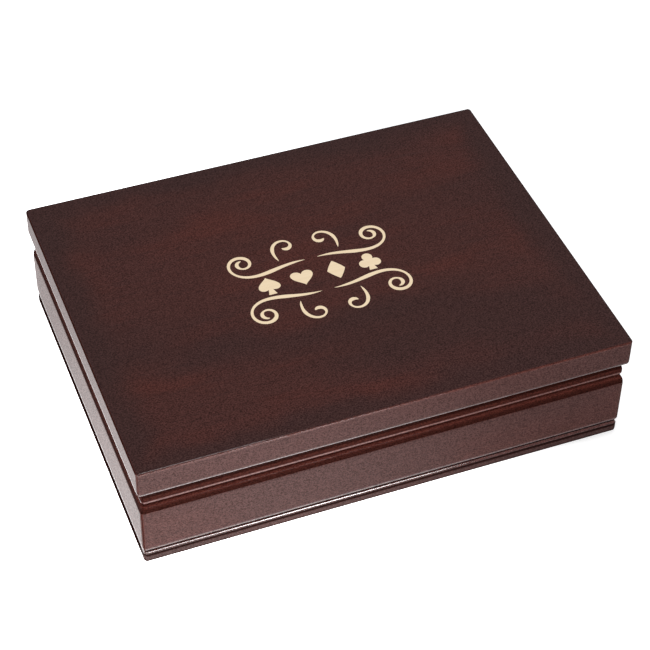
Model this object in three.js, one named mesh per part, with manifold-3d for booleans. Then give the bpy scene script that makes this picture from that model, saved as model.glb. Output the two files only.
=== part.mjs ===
// Hinged wooden box for two decks of playing cards and a row of five dice.
// Millimetres, +Z up. The origin is the middle of the underside. The front is at -Y, the hinges at +Y.
import * as THREE from "three";
import { mergeVertices } from "three/addons/utils/BufferGeometryUtils.js";
import Module from "manifold-3d";

const wasm = await Module();
wasm.setup();

// Clearances
const glueGap = 0.1;
const fitGap = 0.3;
const runGap = 0.15;
const seamGap = 0.3;
const cutOverrun = 2;

// Insert: the wells that the cards and dice lie in, and the ribs round them
const deckWellWidth = 67;
const deckWellDepth = 92;
const diceWellLength = 84;
const diceWellWidth = 18;
const sideRib = 13;
const crossRib = 6.6;
const insertHeight = 18;
const insertFloorThickness = 1.5;
const wellCornerRadius = 2;
const thumbNotchRadius = 11;
const thumbNotchDepth = 13;

// Base walls: their moulding has a rounded shoulder on top and an eased edge below
const wallThickness = 11;
const wallInset = 0.75;
const headroom = 4.6;
const shoulderWidth = 2.4;
const shoulderHeight = 4.4;
const wallEdgeRadius = 1.4;
const wallCornerRadius = 0.4;

// Bottom board, whose edge shows as a rounded foot, and the felt under it
const footThickness = 6.6;
const footInset = 0.9;
const footTopRadius = 2.8;
const footUnderRadius = 1.8;
const footCornerRadius = 1.6;
const feltThickness = 0.8;
const feltMargin = 5;
const feltCornerRadius = 4;

// Lid rails: a bead moulding under the panel, from the seam upwards
const seamInset = 3;
const beadInset = 1.5;
const beadUnderHeight = 2;
const beadHeight = 3.6;
const beadFilletInset = 4;
const beadFilletHeight = 0.8;

// Lid panel and the lining glued under it
const panelThickness = 12.5;
const panelTopRadius = 0.85;
const panelUnderRadius = 1.7;
const panelCornerRadius = 1.2;
const liningThickness = 2;
const liningEdgeRadius = 0.6;
const liningCornerRadius = 2;

// Butt hinges, let into the back wall and the back rail
const hingeLength = 25;
const hingeMargin = 43.5;
const hingeInset = 2.3;
const knuckleRadius = 1.7;
const leafWidth = 7.6;
const leafThickness = 1;
const pinRadius = 0.8;
const pinHeadRadius = 1.3;
const pinHeadThickness = 0.5;

// Countersunk screws, two in each leaf
const screwMargin = 5;
const screwRadius = 0.8;
const screwHeadRadius = 1.6;
const screwHeadHeight = 0.8;
const screwTipHeight = 1.6;
const screwCover = 1;
const screwSlotWidth = 0.4;
const screwSlotDepth = 0.35;

// Worked out from the sizes above
const insertWidth = 2 * deckWellWidth + 3 * sideRib;
const insertDepth = deckWellDepth + diceWellWidth + 3 * crossRib;
const innerWidth = insertWidth + 2 * fitGap;
const innerDepth = insertDepth + 2 * fitGap;
const innerInset = wallInset + wallThickness;
const boxWidth = innerWidth + 2 * innerInset;
const boxDepth = innerDepth + 2 * innerInset;
const wallHeight = insertFloorThickness + glueGap + insertHeight + headroom;
const railHeight = beadUnderHeight + beadHeight + beadFilletHeight;
const footBottom = feltThickness + glueGap;
const wallBottom = footBottom + footThickness + glueGap;
const wallTop = wallBottom + wallHeight;
const insertBottom = wallBottom + insertFloorThickness + glueGap;
const hingeHeight = wallTop + seamGap / 2;
const hingePlaces = [hingeMargin - boxWidth / 2, boxWidth / 2 - hingeMargin];
const railBottom = wallTop + seamGap;
const panelBottom = railBottom + railHeight + glueGap;
const pocketDepth = leafThickness + fitGap;
const screwLength = railHeight - screwCover;
const wellRow = insertDepth / 2 - crossRib - deckWellDepth / 2;
const diceRow = crossRib + diceWellWidth / 2 - insertDepth / 2;

// Facets
const edgeFacets = 5;
const mouldingFacets = 8;
const knuckleFacets = 20;
const pinFacets = 12;
const notchFacets = 32;

const lacquer = new THREE.MeshStandardMaterial({ color: 0x3e1f1b, roughness: 0.3, metalness: 0 });
const greenFelt = new THREE.MeshStandardMaterial({ color: 0x173a2a, roughness: 1, metalness: 0 });
const brass = new THREE.MeshStandardMaterial({ color: 0xb08d45, roughness: 0.35, metalness: 1 });

// A closed geometry as a manifold solid
function solid(geometry) {
  const bare = geometry.clone();
  bare.deleteAttribute("normal");
  bare.deleteAttribute("uv");
  const merged = mergeVertices(bare);
  const vertProperties = new Float32Array(merged.attributes.position.array);
  const triVerts = new Uint32Array(merged.index.array);
  return new wasm.Manifold(new wasm.Mesh({ numProp: 3, vertProperties, triVerts }));
}

// A manifold solid as a geometry
function geometryOf(shape) {
  const mesh = shape.getMesh();
  const geometry = new THREE.BufferGeometry();
  geometry.setAttribute("position", new THREE.BufferAttribute(mesh.vertProperties, 3));
  geometry.setIndex(new THREE.BufferAttribute(mesh.triVerts, 1));
  return geometry;
}

function cut(body, ...cutters) {
  return cutters.reduce((rest, cutter) => rest.subtract(solid(cutter)), body);
}

function named(name, geometry, material) {
  const mesh = new THREE.Mesh(geometry, material);
  mesh.name = name;
  return mesh;
}

// A rectangle with round corners, centred on the origin
function roundedRectangle(width, depth, radius) {
  const x = width / 2 - radius;
  const y = depth / 2 - radius;
  const shape = new THREE.Shape();
  shape.absarc(x, y, radius, 0, Math.PI / 2);
  shape.absarc(-x, y, radius, Math.PI / 2, Math.PI);
  shape.absarc(-x, -y, radius, Math.PI, 1.5 * Math.PI);
  shape.absarc(x, -y, radius, 1.5 * Math.PI, 2 * Math.PI);
  shape.closePath();
  return shape;
}

// A flat plate from z = 0 up, with upright edges
function plate(shape, thickness, facets = edgeFacets) {
  return new THREE.ExtrudeGeometry(shape, { depth: thickness, bevelEnabled: false, curveSegments: facets });
}

// A flat board from z = 0 up, with its top and bottom edges rounded over
function board(width, depth, thickness, cornerRadius, edgeRadius) {
  const shape = roundedRectangle(width, depth, cornerRadius);
  const settings = {
    depth: thickness - 2 * edgeRadius,
    bevelThickness: edgeRadius,
    bevelSize: edgeRadius,
    bevelOffset: -edgeRadius,
    bevelSegments: edgeFacets,
    curveSegments: edgeFacets,
  };
  return new THREE.ExtrudeGeometry(shape, settings).translate(0, 0, edgeRadius);
}

// A board from z = 0 up whose sides are all rounded alike, over and under, and meet in sharp mitres
function mitredBoard(width, depth, thickness, topRadius, underRadius, cornerRadius) {
  const across = (span) => {
    const half = span / 2;
    const shape = new THREE.Shape();
    shape.absarc(half - underRadius, underRadius, underRadius, 1.5 * Math.PI, 2 * Math.PI);
    shape.absarc(half - topRadius, thickness - topRadius, topRadius, 0, Math.PI / 2);
    shape.absarc(topRadius - half, thickness - topRadius, topRadius, Math.PI / 2, Math.PI);
    shape.absarc(underRadius - half, underRadius, underRadius, Math.PI, 1.5 * Math.PI);
    shape.closePath();
    return shape;
  };
  const settings = { bevelEnabled: false, curveSegments: edgeFacets };
  const deep = new THREE.ExtrudeGeometry(across(width), { depth, ...settings });
  deep.translate(0, 0, -depth / 2).rotateX(Math.PI / 2);
  const wide = new THREE.ExtrudeGeometry(across(depth), { depth: width, ...settings });
  wide.translate(0, 0, -width / 2).rotateX(Math.PI / 2).rotateZ(Math.PI / 2);
  const outline = plate(roundedRectangle(width, depth, cornerRadius), thickness);
  return geometryOf(solid(deep).intersect(solid(wide)).intersect(solid(outline)));
}

// Section of a base wall: x is the inset from the box's outline, y the height over the wall's foot
function wallSection() {
  const shape = new THREE.Shape();
  const shoulderInset = wallInset + shoulderWidth;
  shape.moveTo(innerInset, 0);
  shape.lineTo(innerInset, wallHeight);
  shape.lineTo(shoulderInset, wallHeight);
  const shoulderFoot = wallHeight - shoulderHeight;
  shape.absellipse(shoulderInset, shoulderFoot, shoulderWidth, shoulderHeight, Math.PI / 2, Math.PI);
  shape.lineTo(wallInset, wallEdgeRadius);
  shape.absarc(wallInset + wallEdgeRadius, wallEdgeRadius, wallEdgeRadius, Math.PI, 1.5 * Math.PI);
  shape.closePath();
  return shape;
}

// Section of a lid rail: x is the inset from the box's outline, y the height over the seam
function railSection() {
  const shape = new THREE.Shape();
  const nose = beadUnderHeight;
  shape.moveTo(innerInset, 0);
  shape.lineTo(innerInset, railHeight);
  shape.lineTo(beadFilletInset, railHeight);
  shape.lineTo(beadFilletInset, nose + beadHeight);
  shape.absellipse(beadFilletInset, nose, beadFilletInset - beadInset, beadHeight, Math.PI / 2, Math.PI);
  shape.absellipse(seamInset, nose, seamInset - beadInset, beadUnderHeight, Math.PI, 1.5 * Math.PI);
  shape.closePath();
  return shape;
}

// A straight moulding along x, its outline edge at y = 0 and its body towards +y, mitred at both ends
function mouldedSide(section, height, run, across, easedInset) {
  const alongX = new THREE.Matrix4().makeBasis(
    new THREE.Vector3(0, 1, 0),
    new THREE.Vector3(0, 0, 1),
    new THREE.Vector3(1, 0, 0),
  );
  const bar = new THREE.ExtrudeGeometry(section, {
    depth: run,
    bevelEnabled: false,
    curveSegments: mouldingFacets,
  });
  bar.applyMatrix4(alongX).translate(-run / 2, 0, 0);

  const outer = run / 2 - (glueGap / 2) * Math.SQRT2;
  const reach = innerInset + cutOverrun;
  const plan = new THREE.Shape();
  plan.moveTo(-outer, 0);
  plan.lineTo(outer, 0);
  plan.lineTo(outer - reach, reach);
  plan.lineTo(reach - outer, reach);
  plan.closePath();
  const mitres = plate(plan, height + 2 * cutOverrun).translate(0, 0, -cutOverrun);

  const easedWidth = run - 2 * easedInset;
  const easedDepth = across - 2 * easedInset;
  const easedOutline = roundedRectangle(easedWidth, easedDepth, wallCornerRadius);
  const eased = plate(easedOutline, height + 2 * cutOverrun);
  eased.translate(0, across / 2, -cutOverrun);
  return solid(bar).intersect(solid(mitres)).intersect(solid(eased));
}

// A round bar along x, centred on the origin
function barAlongX(radius, length, facets) {
  return new THREE.CylinderGeometry(radius, radius, length, facets).rotateZ(Math.PI / 2);
}

// Outline of a screw with its head's face at z = 0 and its tip below; grow enlarges it all round
function screwOutline(grow) {
  const foot = -(screwLength + grow);
  return [
    [0, foot],
    [screwRadius / 2 + grow, foot],
    [screwRadius + grow, foot + screwTipHeight],
    [screwRadius + grow, -screwHeadHeight - grow],
    [screwHeadRadius + grow, 0],
  ];
}

function turned(points, facets) {
  const outline = points.map(([radius, height]) => new THREE.Vector2(radius, height));
  return new THREE.LatheGeometry(outline, facets).rotateX(Math.PI / 2);
}

function screw() {
  const blank = turned([...screwOutline(0), [0, 0]], pinFacets);
  const slot = new THREE.BoxGeometry(2 * screwHeadRadius + cutOverrun, screwSlotWidth, 2 * screwSlotDepth);
  return geometryOf(cut(solid(blank), slot));
}

function screwHole() {
  const mouth = screwHeadRadius + runGap;
  return turned([...screwOutline(runGap), [mouth, cutOverrun], [0, cutOverrun]], pinFacets);
}

// The screws' places in a leaf, along the hinge and towards its inner edge
const screwRow = -(knuckleRadius + leafWidth) / 2;
const screwReach = hingeLength / 2 - screwMargin;
const screwPlaces = [-screwReach, screwReach];

// A hinge's lengths of knuckle: the base leaf has the outer two and the lid leaf the middle one
const knuckleLength = (hingeLength - 2 * fitGap) / 3;
const outerKnuckle = (hingeLength - knuckleLength) / 2;

// Leaf in the hinge's frame: the pin runs along x through the origin, the leaf reaches to -y
// and lies below the pin's middle for the base, above it for the lid
function hingeLeaf(forLid) {
  const side = forLid ? 1 : -1;
  const middle = side * (seamGap / 2 + leafThickness / 2);
  const own = forLid ? [0] : [-outerKnuckle, outerKnuckle];
  const others = forLid ? [-outerKnuckle, outerKnuckle] : [0];
  const flat = new THREE.BoxGeometry(hingeLength, leafWidth, leafThickness);
  flat.translate(0, -leafWidth / 2, middle);
  const spaces = others.map((x) =>
    barAlongX(knuckleRadius + fitGap, knuckleLength + 2 * fitGap, knuckleFacets).translate(x, 0, 0),
  );
  let leaf = cut(solid(flat), ...spaces);
  for (const x of own) {
    leaf = leaf.add(solid(barAlongX(knuckleRadius, knuckleLength, knuckleFacets).translate(x, 0, 0)));
  }
  leaf = cut(leaf, barAlongX(pinRadius + runGap, hingeLength + cutOverrun, pinFacets));
  return geometryOf(cut(leaf, ...screwPlaces.map((x) => placedScrew(screwHole(), forLid, x))));
}

// Puts a screw, or the cutter for its hole, at its place in the hinge's frame
function placedScrew(geometry, forLid, x) {
  if (forLid) geometry.rotateX(Math.PI);
  return geometry.translate(x, screwRow, (forLid ? seamGap : -seamGap) / 2);
}

function hingePin() {
  const end = hingeLength / 2 + runGap;
  const points = [
    [0, -end - pinHeadThickness],
    [pinHeadRadius, -end - pinHeadThickness],
    [pinHeadRadius, -end],
    [pinRadius, -end],
    [pinRadius, end],
    [pinHeadRadius, end],
    [pinHeadRadius, end + pinHeadThickness],
    [0, end + pinHeadThickness],
  ];
  return turned(points, pinFacets).rotateY(Math.PI / 2);
}

// What is cut from the back wall or the back rail for one hinge, in the hinge's frame
function hingeCutters(forLid) {
  const length = hingeLength + 2 * (runGap + pinHeadThickness + fitGap);
  const space = barAlongX(knuckleRadius + fitGap, length, knuckleFacets);
  const pocketHeight = pocketDepth + seamGap / 2 + cutOverrun;
  const pocket = new THREE.BoxGeometry(hingeLength + 2 * fitGap, leafWidth + fitGap, pocketHeight);
  const top = pocketDepth + seamGap / 2;
  pocket.translate(0, -(leafWidth + fitGap) / 2, (forLid ? 1 : -1) * (top - pocketHeight / 2));
  return [space, pocket, ...screwPlaces.map((x) => placedScrew(screwHole(), forLid, x))];
}

// A back moulding with both hinges let in; pinHeight is the pin's height in the moulding's frame
function hingedSide(moulding, forLid, pinHeight) {
  for (const x of hingePlaces) {
    const cutters = hingeCutters(forLid).map((c) => c.rotateZ(Math.PI).translate(x, hingeInset, pinHeight));
    moulding = cut(moulding, ...cutters);
  }
  return moulding;
}

// The four mouldings of a frame, round the box's outline, as named meshes
function mouldedFrame(names, section, height, easedInset, bottom, hingedBack) {
  const sides = [
    { name: names.front, run: boxWidth, across: boxDepth, x: 0, y: -boxDepth / 2, turn: 0 },
    { name: names.right, run: boxDepth, across: boxWidth, x: boxWidth / 2, y: 0, turn: Math.PI / 2 },
    { name: names.back, run: boxWidth, across: boxDepth, x: 0, y: boxDepth / 2, turn: Math.PI },
    { name: names.left, run: boxDepth, across: boxWidth, x: -boxWidth / 2, y: 0, turn: -Math.PI / 2 },
  ];
  return sides.map(({ name, run, across, x, y, turn }) => {
    const moulding = mouldedSide(section, height, run, across, easedInset);
    const shape = name === names.back ? hingedBack(moulding) : moulding;
    const mesh = named(name, geometryOf(shape), lacquer);
    mesh.position.set(x, y, bottom);
    mesh.rotation.z = turn;
    return mesh;
  });
}

// Felt-covered block with the two deck wells, the dice well and the thumb notch between the decks
function insertFrame() {
  const block = plate(roundedRectangle(insertWidth, insertDepth, wellCornerRadius), insertHeight);
  const through = insertHeight + 2 * cutOverrun;
  const deckWells = [-1, 1].map((side) =>
    plate(roundedRectangle(deckWellWidth, deckWellDepth, wellCornerRadius), through).translate(
      (side * (deckWellWidth + sideRib)) / 2,
      wellRow,
      -cutOverrun,
    ),
  );
  const diceShape = roundedRectangle(diceWellLength + diceWellWidth, diceWellWidth, diceWellWidth / 2);
  const diceWell = plate(diceShape, through, mouldingFacets).translate(0, diceRow, -cutOverrun);
  const notchHeight = thumbNotchDepth + cutOverrun;
  const notch = new THREE.CylinderGeometry(thumbNotchRadius, thumbNotchRadius, notchHeight, notchFacets);
  notch.rotateX(Math.PI / 2).translate(0, wellRow, insertHeight - thumbNotchDepth + notchHeight / 2);
  return geometryOf(cut(solid(block), ...deckWells, diceWell, notch));
}

function makeBase() {
  const base = new THREE.Group();
  const feltWidth = boxWidth - 2 * (footInset + feltMargin);
  const feltDepth = boxDepth - 2 * (footInset + feltMargin);
  const feltShape = roundedRectangle(feltWidth, feltDepth, feltCornerRadius);
  base.add(named("base_felt", plate(feltShape, feltThickness), greenFelt));

  const footWidth = boxWidth - 2 * footInset;
  const footDepth = boxDepth - 2 * footInset;
  const footRadii = [footTopRadius, footUnderRadius, footCornerRadius];
  const foot = mitredBoard(footWidth, footDepth, footThickness, ...footRadii);
  const bottomBoard = named("bottom_board", foot, lacquer);
  bottomBoard.position.z = footBottom;
  base.add(bottomBoard);

  const names = { front: "wall_front", right: "wall_right", back: "wall_back", left: "wall_left" };
  const hinged = (wall) => hingedSide(wall, false, wallHeight + seamGap / 2);
  base.add(...mouldedFrame(names, wallSection(), wallHeight, wallInset, wallBottom, hinged));

  const floorShape = roundedRectangle(insertWidth, insertDepth, wellCornerRadius);
  const insertFloor = named("insert_floor", plate(floorShape, insertFloorThickness), greenFelt);
  insertFloor.position.z = wallBottom;
  const insert = named("insert_frame", insertFrame(), greenFelt);
  insert.position.z = insertBottom;
  base.add(insertFloor, insert);
  return base;
}

function makeLid() {
  const lid = new THREE.Group();
  const names = {
    front: "lid_rail_front",
    right: "lid_rail_right",
    back: "lid_rail_back",
    left: "lid_rail_left",
  };
  const hinged = (rail) => hingedSide(rail, true, -seamGap / 2);
  lid.add(...mouldedFrame(names, railSection(), railHeight, beadInset, railBottom, hinged));

  const panelRadii = [panelTopRadius, panelUnderRadius, panelCornerRadius];
  const panel = mitredBoard(boxWidth, boxDepth, panelThickness, ...panelRadii);
  const lidPanel = named("lid_panel", panel, lacquer);
  lidPanel.position.z = panelBottom;
  const lining = board(insertWidth, insertDepth, liningThickness, liningCornerRadius, liningEdgeRadius);
  const lidLining = named("lid_lining", lining, greenFelt);
  lidLining.position.z = panelBottom - glueGap - liningThickness;
  lid.add(lidPanel, lidLining);
  return lid;
}

function makeHinge(name, x) {
  const hinge = new THREE.Group();
  hinge.position.set(x, boxDepth / 2 - hingeInset, hingeHeight);
  hinge.add(named(`${name}_leaf_base`, hingeLeaf(false), brass));
  hinge.add(named(`${name}_leaf_lid`, hingeLeaf(true), brass));
  hinge.add(named(`${name}_pin`, hingePin(), brass));
  screwPlaces.forEach((place, index) => {
    for (const forLid of [false, true]) {
      const where = forLid ? "lid" : "base";
      const shape = placedScrew(screw(), forLid, place);
      hinge.add(named(`${name}_screw_${where}_${index + 1}`, shape, brass));
    }
  });
  return hinge;
}

const box = new THREE.Group();
box.add(makeBase(), makeLid());
box.add(makeHinge("hinge_left", hingePlaces[0]), makeHinge("hinge_right", hingePlaces[1]));
export default box;
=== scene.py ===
"""Looks of the playing card box: dark lacquered wood, felt, brass and a light inlay in the lid.

Metres, +Z up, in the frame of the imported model: the front is at -Y and the hinges are at +Y.
"""

import math

import bmesh
import bpy
import mathutils
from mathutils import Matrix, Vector


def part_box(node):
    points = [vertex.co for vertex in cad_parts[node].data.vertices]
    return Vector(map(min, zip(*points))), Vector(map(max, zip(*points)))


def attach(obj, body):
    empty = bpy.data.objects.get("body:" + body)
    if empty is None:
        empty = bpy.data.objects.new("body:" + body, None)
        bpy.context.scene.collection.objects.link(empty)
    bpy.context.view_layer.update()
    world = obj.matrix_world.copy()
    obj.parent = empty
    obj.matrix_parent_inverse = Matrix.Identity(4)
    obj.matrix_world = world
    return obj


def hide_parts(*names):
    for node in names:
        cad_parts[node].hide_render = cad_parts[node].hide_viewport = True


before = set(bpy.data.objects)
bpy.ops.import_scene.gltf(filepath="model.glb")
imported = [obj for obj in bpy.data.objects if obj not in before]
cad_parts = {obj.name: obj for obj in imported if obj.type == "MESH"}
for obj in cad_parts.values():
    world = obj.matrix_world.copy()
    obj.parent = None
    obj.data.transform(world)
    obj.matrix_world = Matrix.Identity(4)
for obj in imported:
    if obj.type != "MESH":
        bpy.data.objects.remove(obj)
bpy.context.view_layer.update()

MM = 0.001

# Camera, as the photograph was taken
CAMERA_PLACE = (-0.2075, -0.5309, 0.5715)
CAMERA_AIM = (-0.0084, -0.0280, 0.0511)
CAMERA_ROLL_DEG = 1.0
CAMERA_CLIP = (0.05, 20.0)
CAMERA_LENS = 108.9
SENSOR_WIDTH = 36.0

# Lights: (name, place, size across and up, power in watts), and the point that they are aimed at
LIGHTS = (
    ("left_softbox", (-0.42, -0.50, 0.24), (0.40, 0.22), 1.2),
    ("front_strip", (0.13, -0.95, 0.29), (0.36, 0.11), 2.6),
    ("front_glint", (0.18, -0.94, 0.29), (0.12, 0.11), 0.9),
    ("overhead_softbox", (0.00, 0.00, 0.90), (0.30, 0.30), 3.6),
)
LIGHT_AIM = (0, 0, 0.03)
WORLD_COLOR = (0.27, 0.27, 0.28)

# Colours, linear
WHITE = (1.0, 1.0, 1.0)
WOOD_BASE = (0.067, 0.0225, 0.0185)
WOOD_DARK = (0.046, 0.0195, 0.0175)
WOOD_RED = (0.092, 0.0240, 0.0175)
WOOD_PORE = (0.026, 0.0090, 0.0075)
FELT_BASE = (0.006, 0.034, 0.020)
FELT_LIGHT = (0.014, 0.062, 0.038)
FELT_SHEEN = (0.25, 0.6, 0.42)
BRASS_BASE = (0.62, 0.43, 0.17)
BRASS_DARK = (0.30, 0.19, 0.07)
INLAY_BASE = (1.00, 0.80, 0.54)
INLAY_DARK = (0.90, 0.70, 0.44)
FLOOR_COLOR = (0.80, 0.80, 0.80)

# Floor: half its size, its glow, and a pool of more light on it, which reaches (full, gone)
# along X and (full, faded) along Y
FLOOR_HALF = 3.0
FLOOR_GLOW = 0.62
POOL_GLOW = 3.3
POOL_X = (-0.05, 0.09)
POOL_Y = (-0.09, 0.12)
POOL_FADED = 0.5

# Lacquer: the foot's bends light more, so it reflects more
COAT_IOR = 1.38
FOOT_COAT_IOR = 1.7

# Relief in the looks: the depths that the bump nodes stand for
ORANGE_PEEL = 0.02 * MM
PORE_DEPTH = 0.012 * MM
FIBRE_DEPTH = 0.15 * MM
NAP_DEPTH = 0.12 * MM
DRAWN_DEPTH = 0.01 * MM
INLAY_DEPTH = 0.01 * MM

# The pores' noise is tilted, so that no face lies along its lattice, where it would fade
PORE_TILT = (0.45, 0.60, 0.30)

# The lid's wood is darker in a band along its outline: the band's width, and the share of dark wood at
# the outline
DARK_BAND_WIDTH = 13 * MM
DARK_BAND_SHARE = 0.9

# Stained colour and painted shading of each moulding by height over its lowest edge: (height in mm,
# tone, red, gloss). Tone is the brightness: its dark bands, in the hollows and under the edges, are
# painted shade, and its bright lines along the edges are painted highlights. Red is the share of red
# in it, and gloss is the lacquer's weight.
WALL_STAIN_AND_SHADING = (
    (0.0, 0.15, 0.0, 0.10),
    (0.5, 0.15, 0.0, 0.20),
    (0.8, 0.90, 0.0, 0.95),
    (1.6, 0.90, 0.0, 0.95),
    (1.9, 0.80, 0.0, 0.23),
    (20.9, 0.80, 0.0, 0.23),
    (21.2, 0.18, 1.0, 0.01),
    (22.4, 0.25, 1.0, 0.02),
    (23.0, 0.42, 1.0, 0.04),
    (23.5, 0.75, 1.0, 0.05),
    (24.2, 0.40, 1.0, 0.05),
)
BEAD_STAIN_AND_SHADING = (
    (0.0, 0.15, 1.0, 0.10),
    (0.9, 0.20, 1.0, 0.30),
    (1.4, 0.90, 0.5, 0.62),
    (2.0, 0.90, 0.5, 0.62),
    (2.3, 0.28, 1.0, 0.04),
    (3.6, 0.40, 1.0, 0.03),
    (4.0, 0.20, 1.0, 0.02),
    (6.4, 0.12, 1.0, 0.02),
)
# On the foot, the warm light band from 5.05 to 5.7 mm is a painted highlight, and the dark bands just
# above and below it are painted shade.
FOOT_STAIN_AND_SHADING = (
    (0.0, 0.30, 0.0, 0.00),
    (1.5, 0.40, 0.0, 0.06),
    (2.2, 0.60, 0.0, 0.13),
    (3.4, 0.60, 0.0, 0.15),
    (3.9, 0.25, 0.5, 0.05),
    (4.2, 0.14, 0.5, 0.00),
    (4.8, 0.14, 0.5, 0.05),
    (5.05, 0.90, 0.6, 1.00),
    (5.7, 0.90, 0.6, 1.00),
    (5.85, 0.12, 0.0, 0.20),
    (6.6, 0.10, 0.0, 0.10),
)
PANEL_STAIN_AND_SHADING = (
    (0.0, 0.30, 0.0, 0.44),
    (0.5, 0.80, 0.0, 0.95),
    (1.7, 0.80, 0.0, 0.95),
    (2.1, 0.88, 0.0, 0.22),
    (11.4, 0.88, 0.0, 0.22),
    (11.8, 0.55, 1.0, 0.73),
    (12.3, 0.70, 1.0, 1.00),
    (12.45, 0.93, 0.0, 0.80),
    (12.5, 0.93, 0.0, 0.80),
)

# The foot's and the lid's edges are only polished bright along the front. Behind it they are
# unpolished, with painted shade: the foot's tone is halved, and the lid's top edge is a dark line.
FOOT_DULL_AND_SHADED = tuple((height, 0.5 * tone, red, 0.0) for height, tone, red, gloss in FOOT_STAIN_AND_SHADING)
PANEL_DULL_AND_SHADED = PANEL_STAIN_AND_SHADING[:5] + ((11.7, 0.25, 1.0, 0.0), (12.3, 0.25, 1.0, 0.0)) + PANEL_STAIN_AND_SHADING[-2:]

# How far behind the front the polish and the painted highlights start to fade into the painted shade,
# and where they are gone
FOOT_POLISH = (3 * MM, 6 * MM)
PANEL_POLISH = (0, 2 * MM)

# Finishes of the boards, with their painted shading. most_red is the share of red in the reddest
# patches, and least_dark is the share of dark stained wood in the lightest clouds.
FINISHES_AND_SHADING = {
    "wall": {"stain_and_shading": WALL_STAIN_AND_SHADING},
    "bead": {"stain_and_shading": BEAD_STAIN_AND_SHADING},
    "foot": {
        "stain_and_shading": FOOT_STAIN_AND_SHADING,
        "dull_and_shaded": FOOT_DULL_AND_SHADED,
        "polish": FOOT_POLISH,
        "coat_ior": FOOT_COAT_IOR,
    },
    "panel": {
        "stain_and_shading": PANEL_STAIN_AND_SHADING,
        "dull_and_shaded": PANEL_DULL_AND_SHADED,
        "polish": PANEL_POLISH,
        "most_red": 0.7,
        "least_dark": 0.0,
        "dark_banded": True,
    },
}

# Boards: (finish, seed of the grain, axes that the moulding runs along, the grain's own first)
BOARDS = {
    "lid_panel": ("panel", 18.8, (0, 1)),
    "lid_rail_front": ("bead", 1.7, (0,)),
    "lid_rail_back": ("bead", 2.9, (0,)),
    "lid_rail_left": ("bead", 3.3, (1,)),
    "lid_rail_right": ("bead", 4.1, (1,)),
    "wall_front": ("wall", 5.2, (0,)),
    "wall_back": ("wall", 6.4, (0,)),
    "wall_left": ("wall", 7.3, (1,)),
    "wall_right": ("wall", 8.8, (1,)),
    "bottom_board": ("foot", 9.6, (0, 1)),
}

# The upright corners are rounded, with CORNER_STEPS facets on each side of the mitre. They are
# rubbed red and dull, fully up to CORNER_CORE from both sides and not at all from CORNER_WIDTH on.
CORNER_RADIUS = 1.5 * MM
CORNER_STEPS = 4
CORNER_WIDTH = 1.0 * MM
CORNER_CORE = 0.3 * MM
CORNER_DARKENING = 0.5

# Meshes: corners closer than WELD_DISTANCE are one, facets that turn by less than FLAT_ANGLE are
# flat, edges that turn by less than SMOOTH_ANGLE are shaded smooth, and points closer to a cut
# than ON_CUT lie on it
WELD_DISTANCE = 0.002 * MM
FLAT_ANGLE = math.radians(1)
SMOOTH_ANGLE = math.radians(32)
ON_CUT = 1e-7

# Flocked block: its edges are as soft as the felt is thick
SOFT_EDGE = 0.8 * MM
SOFT_EDGE_STEPS = 4
SOFT_EDGE_ANGLE = math.radians(40)

# Pads: the radii of their upright corners and of their rolled rims, and the size of their facets.
# Near the outline the facets are smaller, with edges at RIM_SHARES of the rim's radius inside it.
FLOOR_PAD = {"corner": 2 * MM, "rim": 0.5 * MM, "step": 2.5 * MM}
LINING_PAD = {"corner": 2 * MM, "rim": 0.9 * MM, "step": 2.5 * MM}
UNDERSIDE_PAD = {"corner": 4 * MM, "rim": 0.3 * MM, "step": 3 * MM}
RIM_SHARES = (0.0, 0.05, 0.2, 0.45, 0.75, 1.1, 1.8)

# How far the pads' faces stand inside their boxes, and the waves on them: (height, size, seed)
FLOOR_SINK = 0.12 * MM
FLOOR_WAVE = (0.08 * MM, 14 * MM, 3.1)
LINING_SINK = 0.10 * MM
LINING_CROWN = 0.55 * MM
LINING_CROWN_POWER = 8
LINING_WAVE = (0.10 * MM, 17 * MM, 8.3)
UNDERSIDE_SINK = 0.04 * MM
UNDERSIDE_WAVE = (0.04 * MM, 9 * MM, 5.9)

# Inlay: a row of suit pips, and scrolls round it, all within the lid's middle
INLAY_PROUD = 0.03 * MM
INLAY_THICKNESS = 0.06 * MM

# Pips, in mm round the middle of each. A heart's height is a sum of cosines, HEART_WAVES high, and
# the spade's blade is a heart upside down. Each stem is (length, half its width at its top, half
# its width at its foot), and each circle is (x, y, radius).
PIP_SPACING = 14.0
PIP_STEPS = 96
HEART_HALF_WIDTH = 4.6
HEART_WAVES = (3.75, -1.45, -0.6, -0.15)
HEART_RISE = 0.4
BLADE_SHARES = (0.96, 0.92)
BLADE_RISE = 0.9
SPADE_STEM = (5.0, 0.35, 2.0)
CLUB_CIRCLES = ((0, 2.5, 2.15), (-2.35, -0.9, 2.15), (2.35, -0.9, 2.15), (0, 0, 1.4))
CLUB_STEM = (4.9, 0.4, 1.9)
STEM_FLARE = 4
DIAMOND_HALF_WIDTH = 3.7
DIAMOND_HALF_HEIGHT = 5.2
DIAMOND_POWER = 1.12

# A direction and an edge whose cross product is smaller than this are parallel
PARALLEL = 1e-9

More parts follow.
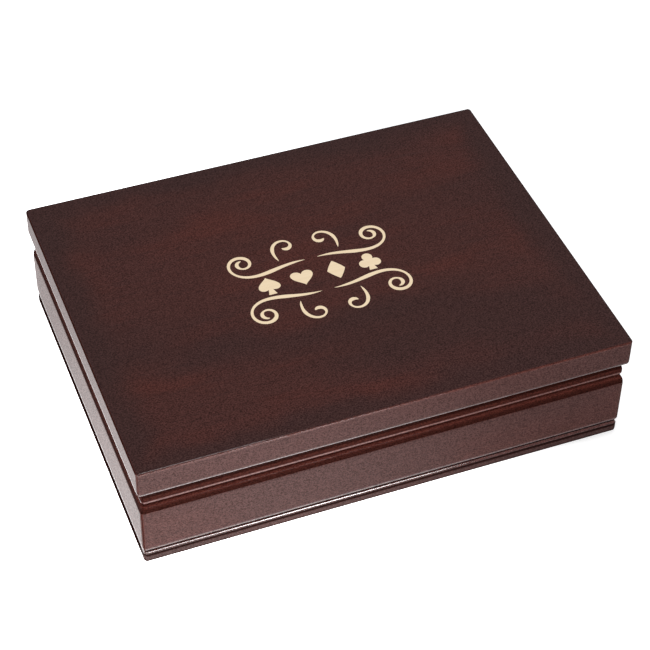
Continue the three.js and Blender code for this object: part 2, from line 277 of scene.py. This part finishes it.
# Scrolls, in mm from the lid's middle: (start, heading in degrees, bends, widths). Bends are
# (distance, radians per mm) and widths are (share of the length, width). Each scroll is drawn in
# all four quarters, in steps of STROKE_STEP. It narrows to STROKE_TIP of its width over the first
# and the last of STROKE_TAPER equal parts of its length.
STROKE_STEP = 0.35
STROKE_TAPER = 12
STROKE_TIP = 0.0447
SCROLLS = (
    (
        (2.6, 9.6),
        4.0,
        ((0, -0.035), (9, -0.02), (18, 0.03), (28, 0.13), (44, 0.24), (60, 0.50)),
        ((0, 0.7), (0.25, 1.9), (0.5, 1.0), (0.75, 1.6), (0.9, 0.8), (0.95, 2.0), (1, 2.0)),
    ),
    (
        (12.5, 12.2),
        75.0,
        ((0, 0.02), (5, 0.10), (12, 0.22), (24, 0.55)),
        ((0, 0.6), (0.3, 1.5), (0.7, 0.8), (0.88, 1.7), (1, 1.7)),
    ),
)


class Tree:
    """A material's node tree, built node by node."""

    def __init__(self, name):
        self.material = bpy.data.materials.new(name)
        self.material.use_nodes = True
        self.nodes = self.material.node_tree.nodes
        self.links = self.material.node_tree.links
        self.shader = self.nodes["Principled BSDF"]
        self.coordinates = self.add("ShaderNodeTexCoord").outputs["Object"]

    def set(self, socket, value):
        """Links the socket to another one, or sets it to a constant."""
        if isinstance(value, bpy.types.NodeSocket):
            self.links.new(value, socket)
        elif socket.type == "RGBA":
            socket.default_value = (*value, 1.0)
        else:
            socket.default_value = value

    def add(self, kind, inputs=None, **properties):
        node = self.nodes.new(kind)
        for key, value in properties.items():
            setattr(node, key, value)
        for key, value in (inputs or {}).items():
            self.set(node.inputs[key], value)
        return node

    def place(self):
        """The object coordinates as X, Y and Z."""
        return self.add("ShaderNodeSeparateXYZ", {"Vector": self.coordinates}).outputs

    def stretched(self, scale, turn=0.0, offset=(0.0, 0.0, 0.0), tilt=(0.0, 0.0, 0.0)):
        """Object coordinates turned about Z, then scaled, tilted and moved."""
        inputs = {"Vector": self.coordinates, "Rotation": (0, 0, turn)}
        turned = self.add("ShaderNodeMapping", inputs).outputs["Vector"]
        inputs = {"Vector": turned, "Scale": scale, "Rotation": tilt, "Location": offset}
        return self.add("ShaderNodeMapping", inputs).outputs["Vector"]

    def noise(self, vector, scale, detail=2.0, roughness=0.5, distortion=0.0):
        inputs = {
            "Vector": vector,
            "Scale": scale,
            "Detail": detail,
            "Roughness": roughness,
            "Distortion": distortion,
        }
        return self.add("ShaderNodeTexNoise", inputs).outputs["Fac"]

    def ramp(self, value, low, high, to_low=0.0, to_high=1.0):
        """A smooth step from to_low, where the value is low, to to_high, where it is high."""
        inputs = {
            "Value": value,
            "From Min": low,
            "From Max": high,
            "To Min": to_low,
            "To Max": to_high,
        }
        return self.add("ShaderNodeMapRange", inputs, interpolation_type="SMOOTHSTEP").outputs["Result"]

    def mix(self, share, first, second, blend="MIX"):
        """Two colours mixed. Inputs 6 and 7 and output 2 are the node's colour sockets."""
        node = self.add("ShaderNodeMix", data_type="RGBA", blend_type=blend)
        self.set(node.inputs["Factor"], share)
        self.set(node.inputs[6], first)
        self.set(node.inputs[7], second)
        return node.outputs[2]

    def between(self, share, first, second):
        """A value between two values."""
        inputs = {"Factor": share, "A": first, "B": second}
        return self.add("ShaderNodeMix", inputs, data_type="FLOAT").outputs["Result"]

    def math(self, operation, first, second=0.0):
        node = self.add("ShaderNodeMath", operation=operation)
        self.set(node.inputs[0], first)
        self.set(node.inputs[1], second)
        return node.outputs[0]

    def without(self, value, share):
        """The value with this share of it taken away."""
        return self.math("MULTIPLY", value, self.math("SUBTRACT", 1.0, share))

    def bump(self, height, distance, strength, normal=None):
        inputs = {"Height": height, "Distance": distance, "Strength": strength}
        if normal is not None:
            inputs["Normal"] = normal
        return self.add("ShaderNodeBump", inputs).outputs["Normal"]

    def finish(self, **inputs):
        """Sets the shader's inputs, named with _ for each space, and returns the material."""
        for key, value in inputs.items():
            self.set(self.shader.inputs[key.replace("_", " ")], value)
        return self.material


def from_outline(tree, half_width, half_depth):
    """How far each point is inside the sides, and inside the front and back, of an outline."""
    place = tree.place()
    beside = tree.math("SUBTRACT", half_width, tree.math("ABSOLUTE", place["X"]))
    behind = tree.math("SUBTRACT", half_depth, tree.math("ABSOLUTE", place["Y"]))
    return beside, behind


def corners(tree, outline):
    """1 along the upright corners of the outline, and 0 away from them."""
    inset = tree.math("MAXIMUM", *from_outline(tree, *outline))
    return tree.ramp(inset, CORNER_CORE, CORNER_WIDTH, 1.0, 0.0)


def dark_band(tree, outline):
    """The share of dark wood in a band along the outline, which falls from the outline inwards."""
    inset = tree.math("MINIMUM", *from_outline(tree, *outline))
    waver = tree.noise(tree.coordinates, 30.0, detail=2.0)
    wander = tree.ramp(waver, 0.3, 0.7, -0.5 * DARK_BAND_WIDTH, 0.0)
    return tree.ramp(tree.math("ADD", inset, wander), 0.0, DARK_BAND_WIDTH, DARK_BAND_SHARE, 0.0)


def by_height(tree, stops, foot):
    """Tone, red and gloss at each height of a moulding whose lowest edge is at foot."""
    span = stops[-1][0]
    height = tree.math("SUBTRACT", tree.place()["Z"], foot)
    share = tree.math("DIVIDE", height, span * MM)
    results = []
    for index in (1, 2, 3):
        top = max(stop[index] for stop in stops) or 1.0
        curve = tree.add("ShaderNodeFloatCurve", {"Value": share})
        points = curve.mapping.curves[0].points
        while len(points) < len(stops):
            points.new(0.5, 0.5)
        for point, stop in zip(points, stops):
            point.location = (stop[0] / span, stop[index] / top)
            point.handle_type = "VECTOR"
        curve.mapping.extend = "HORIZONTAL"
        curve.mapping.update()
        results.append(tree.math("MULTIPLY", curve.outputs["Value"], top))
    return results


def moulding(tree, foot, outline, stain_and_shading, dull_and_shaded, polish):
    """Tone, red and gloss of a moulding, with its painted shade and highlights, and with the
    unpolished, shaded sides behind the polish where there are any.
    """
    values = by_height(tree, stain_and_shading, foot)
    if dull_and_shaded:
        near, far = [distance - outline[1] for distance in polish]
        front = tree.ramp(tree.place()["Y"], near, far, 1.0, 0.0)
        others = by_height(tree, dull_and_shaded, foot)
        values = [tree.between(front, other, value) for value, other in zip(values, others)]
    tone, red, gloss = values
    corner = corners(tree, outline)
    tone = tree.without(tone, tree.math("MULTIPLY", corner, CORNER_DARKENING))
    red = tree.math("MAXIMUM", red, corner)
    gloss = tree.without(gloss, corner)
    return tone, red, gloss


def lacquered_wood(
    name, seed, turn, foot, outline, stain_and_shading, dull_and_shaded=None, polish=None,
    coat_ior=COAT_IOR, most_red=0.15, least_dark=0.4, dark_banded=False,
):
    """Dark red-brown stained wood under satin lacquer, its grain along X where turn is 0, with painted
    shade and highlights along its mouldings.
    """
    tree = Tree(name)
    offset = (seed, 0.7 * seed, 0.3 * seed)

    def grain(along, scale, detail=2.0, roughness=0.5, tilt=(0.0, 0.0, 0.0)):
        """Noise that is drawn out along the grain, the more so the smaller along is."""
        vector = tree.stretched((along, 1.0, 1.0), turn, offset, tilt)
        return tree.noise(vector, scale, detail, roughness)

    patches = grain(along=0.30, scale=62.0, detail=2.5, roughness=0.6)
    clouds = grain(along=0.45, scale=20.0)
    streaks = grain(along=0.07, scale=520.0, detail=3.0, roughness=0.6)
    pores = grain(along=0.12, scale=1500.0)
    speckle = grain(along=0.50, scale=3400.0, detail=1.0, tilt=PORE_TILT)

    color = tree.mix(tree.ramp(patches, 0.40, 0.72, 0.0, most_red), WOOD_BASE, WOOD_RED)
    color = tree.mix(tree.ramp(clouds, 0.42, 0.66, least_dark, 0.85), color, WOOD_DARK)
    color = tree.mix(tree.ramp(streaks, 0.50, 0.75, 0.0, 0.35), color, WOOD_DARK)
    color = tree.mix(tree.ramp(pores, 0.60, 0.75, 0.0, 0.5), color, WOOD_PORE)
    if dark_banded:
        color = tree.mix(dark_band(tree, outline), color, WOOD_DARK)
    # Tone and red by height: the stained colour, with painted shade in its dark bands and painted
    # highlights in its bright lines
    tone, red, gloss = moulding(tree, foot, outline, stain_and_shading, dull_and_shaded, polish)
    color = tree.mix(red, color, WOOD_RED)
    color = tree.mix(1.0, color, tone, "MULTIPLY")
    color = tree.mix(1.0, color, tree.ramp(speckle, 0.30, 0.70, 0.50, 1.50), "MULTIPLY")
    gloss = tree.math("MULTIPLY", gloss, tree.ramp(speckle, 0.32, 0.68, 0.64, 1.36))

    normal = tree.bump(tree.noise(tree.coordinates, 260.0), ORANGE_PEEL, 0.35)
    normal = tree.bump(speckle, PORE_DEPTH, 0.25, normal)
    roughness = tree.ramp(tree.noise(tree.coordinates, 38.0, detail=3.0), 0.3, 0.7, 0.42, 0.52)
    return tree.finish(
        Base_Color=color,
        Roughness=roughness,
        IOR=1.45,
        Specular_IOR_Level=0.0,
        Coat_Weight=gloss,
        Coat_Roughness=0.10,
        Coat_IOR=coat_ior,
        Normal=normal,
        Coat_Normal=normal,
    )


def felt(name):
    """Short felt nap: a fine tangle of fibres over slow patches of brushed and pressed nap."""
    tree = Tree(name)
    nap = tree.noise(tree.coordinates, 2600.0, detail=3.0, roughness=0.7)
    fibre = tree.noise(tree.stretched((1.0, 0.25, 1.0), 0.6), 1900.0, distortion=1.5)
    brushed = tree.noise(tree.stretched((0.5, 1.0, 1.0), 0.3), 60.0, detail=3.0)
    color = tree.mix(tree.ramp(nap, 0.35, 0.70), FELT_BASE, FELT_LIGHT)
    color = tree.mix(tree.ramp(brushed, 0.40, 0.65, 0.0, 0.45), color, FELT_LIGHT)
    normal = tree.bump(fibre, FIBRE_DEPTH, 0.6)
    normal = tree.bump(nap, NAP_DEPTH, 0.7, normal)
    return tree.finish(
        Base_Color=color,
        Roughness=1.0,
        Specular_IOR_Level=0.1,
        Sheen_Weight=0.35,
        Sheen_Roughness=0.45,
        Sheen_Tint=FELT_SHEEN,
        Normal=normal,
    )


def brass(name, turn):
    """Rolled brass with fine drawing lines and a thin tarnish."""
    tree = Tree(name)
    lines = tree.noise(tree.stretched((0.02, 1.0, 1.0), turn), 3200.0)
    tarnish = tree.noise(tree.coordinates, 420.0, detail=4.0, roughness=0.6)
    color = tree.mix(tree.ramp(tarnish, 0.45, 0.75, 0.0, 0.6), BRASS_BASE, BRASS_DARK)
    roughness = tree.ramp(tarnish, 0.3, 0.7, 0.22, 0.42)
    normal = tree.bump(lines, DRAWN_DEPTH, 0.4)
    return tree.finish(Base_Color=color, Metallic=1.0, Roughness=roughness, Normal=normal)


def cream_inlay():
    """Cream maple, with a trace of grain."""
    tree = Tree("cream_inlay")
    grain = tree.noise(tree.stretched((0.05, 1.0, 1.0)), 700.0, detail=3.0)
    color = tree.mix(tree.ramp(grain, 0.35, 0.75, 0.0, 0.5), INLAY_BASE, INLAY_DARK)
    normal = tree.bump(grain, INLAY_DEPTH, 0.3)
    return tree.finish(
        Base_Color=color,
        Roughness=0.45,
        Coat_Weight=0.5,
        Coat_Roughness=0.2,
        Normal=normal,
    )


def pale_floor():
    """A white floor with an even glow, and a painted pool of more light that glows towards its left."""
    tree = Tree("pale_floor")
    tone = tree.noise(tree.coordinates, 9.0)
    color = tree.mix(tree.ramp(tone, 0.3, 0.7, 0.0, 0.06), FLOOR_COLOR, WHITE)
    place = tree.place()
    across = tree.ramp(place["X"], *POOL_X, POOL_GLOW, 0.0)
    pool = tree.math("MULTIPLY", across, tree.ramp(place["Y"], *POOL_Y, 1.0, POOL_FADED))
    return tree.finish(
        Base_Color=color,
        Roughness=0.9,
        Specular_IOR_Level=0.0,
        Emission_Color=WHITE,
        Emission_Strength=tree.math("ADD", pool, FLOOR_GLOW),
    )


def smooth_group():
    """Geometry nodes that shade faces smooth, but leave edges sharper than SMOOTH_ANGLE sharp."""
    group = bpy.data.node_groups.new("smooth_by_angle", "GeometryNodeTree")
    for direction in ("INPUT", "OUTPUT"):
        group.interface.new_socket("Geometry", in_out=direction, socket_type="NodeSocketGeometry")
    start = group.nodes.new("NodeGroupInput")
    angle = group.nodes.new("GeometryNodeInputMeshEdgeAngle")
    compare = group.nodes.new("FunctionNodeCompare")
    compare.data_type = "FLOAT"
    compare.operation = "LESS_THAN"
    compare.inputs["B"].default_value = SMOOTH_ANGLE
    faces = group.nodes.new("GeometryNodeSetShadeSmooth")
    faces.domain = "FACE"
    edges = group.nodes.new("GeometryNodeSetShadeSmooth")
    edges.domain = "EDGE"
    end = group.nodes.new("NodeGroupOutput")
    group.links.new(start.outputs["Geometry"], faces.inputs["Geometry"])
    group.links.new(faces.outputs["Geometry"], edges.inputs["Geometry"])
    group.links.new(angle.outputs["Unsigned Angle"], compare.inputs["A"])
    group.links.new(compare.outputs["Result"], edges.inputs["Shade Smooth"])
    group.links.new(edges.outputs["Geometry"], end.inputs["Geometry"])
    return group


SMOOTH = smooth_group()


def shade(obj):
    """Joins the facets' shared corners and shades round stretches smooth."""
    weld = obj.modifiers.new("weld", "WELD")
    weld.merge_threshold = WELD_DISTANCE
    smooth = obj.modifiers.new("smooth", "NODES")
    smooth.node_group = SMOOTH
    weighted = obj.modifiers.new("weighted", "WEIGHTED_NORMAL")
    weighted.keep_sharp = True


def dress(name, material):
    """Gives a CAD node its material and its shading."""
    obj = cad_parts[name]
    obj.data.materials.clear()
    obj.data.materials.append(material)
    shade(obj)


def new_object(name, data):
    obj = bpy.data.objects.new(name, data)
    bpy.context.scene.collection.objects.link(obj)
    return obj


def new_piece(name, mesh, material, body):
    """A visible piece that moves with the body."""
    obj = new_object(name, mesh)
    mesh.materials.append(material)
    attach(obj, body)
    return obj


def open_copy(node, name):
    """A copy of a node's mesh, and a bmesh of it in which flat stretches are one face."""
    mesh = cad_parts[node].data.copy()
    mesh.name = name
    mesh.materials.clear()
    work = bmesh.new()
    work.from_mesh(mesh)
    bmesh.ops.remove_doubles(work, verts=work.verts, dist=WELD_DISTANCE)
    bmesh.ops.dissolve_limit(work, angle_limit=FLAT_ANGLE, verts=work.verts, edges=work.edges)
    return mesh, work


def rounded(x, y, half_x, half_y, radius):
    """A point of a rectangle round the origin, moved so that the rectangle's corners are round."""
    over_x = abs(x) - (half_x - radius)
    over_y = abs(y) - (half_y - radius)
    if min(over_x, over_y) <= 0:
        return x, y
    share = max(over_x, over_y) / math.hypot(over_x, over_y)
    round_x = math.copysign(half_x - radius + over_x * share, x)
    round_y = math.copysign(half_y - radius + over_y * share, y)
    return round_x, round_y


def cut_band(work, band, axis, half):
    """Cuts the faces of a band across at both its ends, where its corners will be round."""
    parts = band + [part for face in band for part in (*face.edges, *face.verts)]
    # Each part once, and always in the same order
    parts = list(dict.fromkeys(parts))
    for step in range(CORNER_STEPS):
        turn = step / CORNER_STEPS * math.pi / 4
        reach = half - CORNER_RADIUS + CORNER_RADIUS * math.tan(turn)
        for side in (-1, 1):
            normal = Vector((0, 0, 0))
            normal[axis] = side
            place = normal * reach
            cut = bmesh.ops.bisect_plane(work, geom=parts, dist=ON_CUT, plane_co=place, plane_no=normal)
            parts = cut["geom"]


def rounded_board(name, axes, outline):
    """A copy of a board, with the outline's upright corners rounded.

    Only the bands that face outwards are cut, along the axes that the board's moulding runs along,
    because a cut through another face would change how the rounds beside it are shaded.
    """
    mesh, work = open_copy(name, "rounded_" + name)
    bands = []
    for across in (1, 0):
        limit = outline[across] / 2
        bands.append([face for face in work.faces if abs(face.calc_center_median()[across]) > limit])
    for axis in axes:
        cut_band(work, bands[axis], axis, outline[axis])
    for vertex in work.verts:
        vertex.co.x, vertex.co.y = rounded(vertex.co.x, vertex.co.y, *outline, CORNER_RADIUS)
    work.to_mesh(mesh)
    work.free()
    return mesh


def dress_wood():
    for name, (finish, seed, axes) in BOARDS.items():
        low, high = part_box(name)
        outline = (max(high.x, -low.x), max(high.y, -low.y))
        turn = axes[0] * math.pi / 2
        material = lacquered_wood(name + "_wood", seed, turn, low.z, outline, **FINISHES_AND_SHADING[finish])
        mesh = rounded_board(name, axes, outline)
        body = "lid" if name.startswith("lid") else "base"
        board = new_piece(mesh.name, mesh, material, body)
        shade(board)
        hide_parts(name)


def dress_brass():
    plate = brass("brass_plate", 0.0)
    pin = brass("brass_pin", math.pi / 2)
    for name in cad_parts:
        if "_leaf_" in name:
            dress(name, plate)
        elif name.endswith("_pin") or "_screw_" in name:
            dress(name, pin)


def graded(half, near, step):
    """Places from -half to half, close together at both ends and step apart between them."""
    reach = half - near[-1]
    count = max(2, round(2 * reach / step))
    middle = [-reach + 2 * reach * i / count for i in range(count + 1)]
    ends = [half - inset for inset in near[:-1]]
    return [-x for x in ends] + middle + ends[::-1]


def pad_mesh(name, low, high, shape, corner, rim, step):
    """A closed pad with round corners and a rolled rim that fills the box from low to high.

    shape(x, y) gives how far its underside and its top face stand inside the box there.
    """
    half_x, half_y = (high.x - low.x) / 2, (high.y - low.y) / 2
    middle = (low + high) / 2
    center = (low.z + high.z) / 2
    near = [rim * share for share in RIM_SHARES]
    xs, ys = graded(half_x, near, step), graded(half_y, near, step)
    columns, rows = len(xs), len(ys)
    vertices, under, over = [], [], []
    for row, flat_y in enumerate(ys):
        for column, flat_x in enumerate(xs):
            round_x, round_y = rounded(flat_x, flat_y, half_x, half_y, corner)
            x, y = middle.x + round_x, middle.y + round_y
            inset = max(0.0, min(half_x - abs(flat_x), half_y - abs(flat_y)))
            outside = 1 - min(1.0, inset / rim)
            roll = math.sqrt(1 - outside ** 2)
            sink_low, sink_high = shape(x, y)
            under.append(len(vertices))
            vertices.append((x, y, center + (low.z + sink_low - center) * roll))
            if column in (0, columns - 1) or row in (0, rows - 1):
                over.append(under[-1])
            else:
                over.append(len(vertices))
                vertices.append((x, y, center + (high.z - sink_high - center) * roll))
    faces = []
    for row in range(rows - 1):
        for column in range(columns - 1):
            first = row * columns + column
            ring = (first, first + 1, first + 1 + columns, first + columns)
            faces.append([over[i] for i in ring])
            faces.append([under[i] for i in reversed(ring)])
    mesh = bpy.data.meshes.new(name)
    mesh.from_pydata(vertices, [], faces)
    mesh.polygons.foreach_set("use_smooth", [True] * len(mesh.polygons))
    return mesh


def ripple(x, y, height, size, seed):
    """A slow, even wave between -height and height, about size across."""
    return height * mathutils.noise.noise(Vector((x / size + seed, y / size, 0.37 * seed)))


def felt_insert(material):
    """The flocked block with the wells, its edges softened by the felt."""
    mesh, work = open_copy("insert_frame", "felt_insert")
    work.to_mesh(mesh)
    work.free()
    obj = new_piece("felt_insert", mesh, material, "base")
    bevel = obj.modifiers.new("soft_edges", "BEVEL")
    bevel.limit_method = "ANGLE"
    bevel.angle_limit = SOFT_EDGE_ANGLE
    bevel.width = SOFT_EDGE
    bevel.segments = SOFT_EDGE_STEPS
    shade(obj)
    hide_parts("insert_frame")


def felt_floor(material):
    """The felt-covered card under the block, seen at the bottom of the wells."""
    low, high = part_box("insert_floor")

    def shape(x, y):
        return 0.0, FLOOR_SINK + ripple(x, y, *FLOOR_WAVE)

    mesh = pad_mesh("felt_floor", low, high, shape, **FLOOR_PAD)
    obj = new_piece("felt_floor", mesh, material, "base")
    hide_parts("insert_floor")


def felt_lining(material):
    """The thin pad glued in the lid, fuller in its middle than at its edges."""
    low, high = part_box("lid_lining")
    half_x, half_y = (high.x - low.x) / 2, (high.y - low.y) / 2

    def shape(x, y):
        crown_x = 1 - abs(x / half_x) ** LINING_CROWN_POWER
        crown_y = 1 - abs(y / half_y) ** LINING_CROWN_POWER
        sink = LINING_SINK + LINING_CROWN * (1 - crown_x * crown_y)
        return sink + ripple(x, y, *LINING_WAVE), 0.0

    mesh = pad_mesh("felt_lining", low, high, shape, **LINING_PAD)
    obj = new_piece("felt_lining", mesh, material, "lid")
    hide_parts("lid_lining")


def felt_underside(material):
    """The felt sheet glued under the foot, which the box stands on."""
    low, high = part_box("base_felt")

    def shape(x, y):
        return 0.0, UNDERSIDE_SINK + ripple(x, y, *UNDERSIDE_WAVE)

    mesh = pad_mesh("felt_underside", low, high, shape, **UNDERSIDE_PAD)
    obj = new_piece("felt_underside", mesh, material, "base")
    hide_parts("base_felt")


def dress_felt():
    green_felt = felt("green_felt")
    felt_insert(green_felt)
    felt_floor(green_felt)
    felt_lining(green_felt)
    felt_underside(felt("green_baize"))


def along(stops, place):
    """The value at place, on straight lines through the (place, value) stops."""
    for (start, first), (end, second) in zip(stops, stops[1:]):
        if place <= end:
            return first + (second - first) * (place - start) / (end - start)
    return stops[-1][1]


def stroke(start, heading_deg, bends, widths):
    """Both sides of a scroll, in mm."""
    x, y = start
    heading = math.radians(heading_deg)
    length = bends[-1][0]
    steps = round(length / STROKE_STEP)
    left, right = [], []
    for i in range(steps + 1):
        share = i / steps
        taper = min(1.0, STROKE_TAPER * share, STROKE_TAPER * (1 - share))
        half = along(widths, share) * math.sqrt(taper + STROKE_TIP ** 2) / 2
        left.append((x - math.sin(heading) * half, y + math.cos(heading) * half))
        right.append((x + math.sin(heading) * half, y - math.cos(heading) * half))
        heading += along(bends, share * length) * length / steps
        x += math.cos(heading) * length / steps
        y += math.sin(heading) * length / steps
    return left, right


def round_circles(directions, circles):
    """How far a group of circles reaches from the middle in each direction."""
    reach = []
    for dx, dy in directions:
        far = 0.0
        for cx, cy, radius in circles:
            ahead = cx * dx + cy * dy
            aside = radius ** 2 - (cx ** 2 + cy ** 2 - ahead ** 2)
            if aside > 0:
                far = max(far, ahead + math.sqrt(aside))
        reach.append(far)
    return reach


def round_outline(directions, outline):
    """How far a closed outline reaches from the middle in each direction."""
    reach = []
    for dx, dy in directions:
        far = 0.0
        for (ax, ay), (bx, by) in zip(outline, outline[1:] + outline[:1]):
            across = dx * (by - ay) - dy * (bx - ax)
            if abs(across) > PARALLEL:
                share = (ax * dy - ay * dx) / across
                ahead = (ax * (by - ay) - ay * (bx - ax)) / across
                if 0 <= share <= 1:
                    far = max(far, ahead)
        reach.append(far)
    return reach


def down_stem(directions, length, half_top, half_foot):
    """How far a flared stem reaches down from the middle in each direction."""
    reach = []
    for dx, dy in directions:
        far = 0.0
        for i in range(PIP_STEPS):
            y = -length * (i + 1) / PIP_STEPS
            half = half_top + (half_foot - half_top) * (y / length) ** STEM_FLARE
            if dy < 0 and abs(dx / dy * y) <= half:
                far = y / dy
        reach.append(far)
    return reach


def farthest(directions, *reaches):
    """The outline at the farthest of the reaches in each direction."""
    outline = []
    for (dx, dy), *far in zip(directions, *reaches):
        outline.append((dx * max(far), dy * max(far)))
    return outline


def heart_outline():
    """A heart round its middle, in mm."""
    points = []
    for i in range(PIP_STEPS):
        turn = math.tau * (i + 0.5) / PIP_STEPS
        x = HEART_HALF_WIDTH * math.sin(turn) ** 3
        y = sum(wave * math.cos(order * turn) for order, wave in enumerate(HEART_WAVES, 1))
        points.append((-x, y + HEART_RISE))
    return points


def diamond_reach(directions):
    """How far a diamond with slightly curved sides reaches from its middle in each direction."""
    reach = []
    for dx, dy in directions:
        across = (abs(dx) / DIAMOND_HALF_WIDTH) ** DIAMOND_POWER
        up = (abs(dy) / DIAMOND_HALF_HEIGHT) ** DIAMOND_POWER
        reach.append((across + up) ** (-1 / DIAMOND_POWER))
    return reach


def pips():
    """Outlines of a spade, a heart, a diamond and a club round their middles, in mm."""
    turns = [math.tau * i / PIP_STEPS for i in range(PIP_STEPS)]
    directions = [(math.cos(turn), math.sin(turn)) for turn in turns]
    heart = heart_outline()
    share_x, share_y = BLADE_SHARES
    blade = [(x * share_x, BLADE_RISE - y * share_y) for x, y in reversed(heart)]
    blade_reach = round_outline(directions, blade)
    spade = farthest(directions, blade_reach, down_stem(directions, *SPADE_STEM))
    diamond = farthest(directions, diamond_reach(directions))
    leaf_reach = round_circles(directions, CLUB_CIRCLES)
    club = farthest(directions, leaf_reach, down_stem(directions, *CLUB_STEM))
    return spade, heart, diamond, club


def inlay_mesh():
    """The pips and the scrolls as one thin mesh."""
    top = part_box("lid_panel")[1].z + INLAY_PROUD
    bottom = top - INLAY_THICKNESS
    vertices, faces = [], []

    def add(outline, parts):
        """Adds a plate with this outline, in mm, whose faces are the parts, lists of its points."""
        start, count = len(vertices), len(outline)
        area = sum(ax * by - bx * ay for (ax, ay), (bx, by) in zip(outline, outline[1:] + outline[:1]))
        ring = list(range(count)) if area > 0 else list(range(count))[::-1]
        vertices.extend((x * MM, y * MM, top) for x, y in outline)
        vertices.extend((x * MM, y * MM, bottom) for x, y in outline)
        for i, a in enumerate(ring):
            b = ring[(i + 1) % count]
            faces.append((start + a, start + count + a, start + count + b, start + b))
        for part in parts:
            turned = part if area > 0 else part[::-1]
            faces.append([start + i for i in turned])
            faces.append([start + count + i for i in turned[::-1]])

    def add_pip(outline, middle):
        add([(x + middle, y) for x, y in outline], [list(range(len(outline)))])

    def add_scroll(left, right):
        count = len(right)
        strip = [(i, i + 1, 2 * count - 2 - i, 2 * count - 1 - i) for i in range(count - 1)]
        add(right + left[::-1], strip)

    outlines = pips()
    for i, outline in enumerate(outlines):
        add_pip(outline, (i - (len(outlines) - 1) / 2) * PIP_SPACING)
    for flip_x in (1, -1):
        for flip_y in (1, -1):
            for scroll in SCROLLS:
                left, right = [[(x * flip_x, y * flip_y) for x, y in side] for side in stroke(*scroll)]
                if flip_x == flip_y:
                    add_scroll(left, right)
                else:
                    add_scroll(right, left)
    mesh = bpy.data.meshes.new("lid_inlay")
    mesh.from_pydata(vertices, [], faces)
    return mesh


def make_inlay():
    new_piece("lid_inlay", inlay_mesh(), cream_inlay(), "lid")


def make_camera():
    camera = new_object("camera", bpy.data.cameras.new("camera"))
    camera.data.lens = CAMERA_LENS
    camera.data.sensor_width = SENSOR_WIDTH
    camera.data.clip_start, camera.data.clip_end = CAMERA_CLIP
    camera.location = CAMERA_PLACE
    heading = Vector(CAMERA_AIM) - Vector(CAMERA_PLACE)
    camera.rotation_euler = heading.to_track_quat("-Z", "Y").to_euler()
    camera.rotation_euler.rotate_axis("Z", math.radians(CAMERA_ROLL_DEG))
    bpy.context.scene.camera = camera


def make_lights():
    for name, place, (across, up), power in LIGHTS:
        data = bpy.data.lights.new(name, "AREA")
        data.shape = "RECTANGLE"
        data.size = across
        data.size_y = up
        data.energy = power
        light = new_object(name, data)
        light.location = place
        heading = Vector(LIGHT_AIM) - Vector(place)
        light.rotation_euler = heading.to_track_quat("-Z", "Y").to_euler()


def make_world():
    world = bpy.data.worlds.new("studio")
    bpy.context.scene.world = world
    world.use_nodes = True
    world.node_tree.nodes["Background"].inputs["Color"].default_value = (*WORLD_COLOR, 1.0)
    bpy.context.scene.view_settings.view_transform = "Standard"


def make_floor():
    mesh = bpy.data.meshes.new("floor")
    signs = ((-1, -1), (1, -1), (1, 1), (-1, 1))
    mesh.from_pydata([(x * FLOOR_HALF, y * FLOOR_HALF, 0) for x, y in signs], [], [(0, 1, 2, 3)])
    mesh.materials.append(pale_floor())
    new_object("floor", mesh)


make_camera()
make_lights()
make_world()
make_floor()
dress_wood()
dress_brass()
dress_felt()
make_inlay()
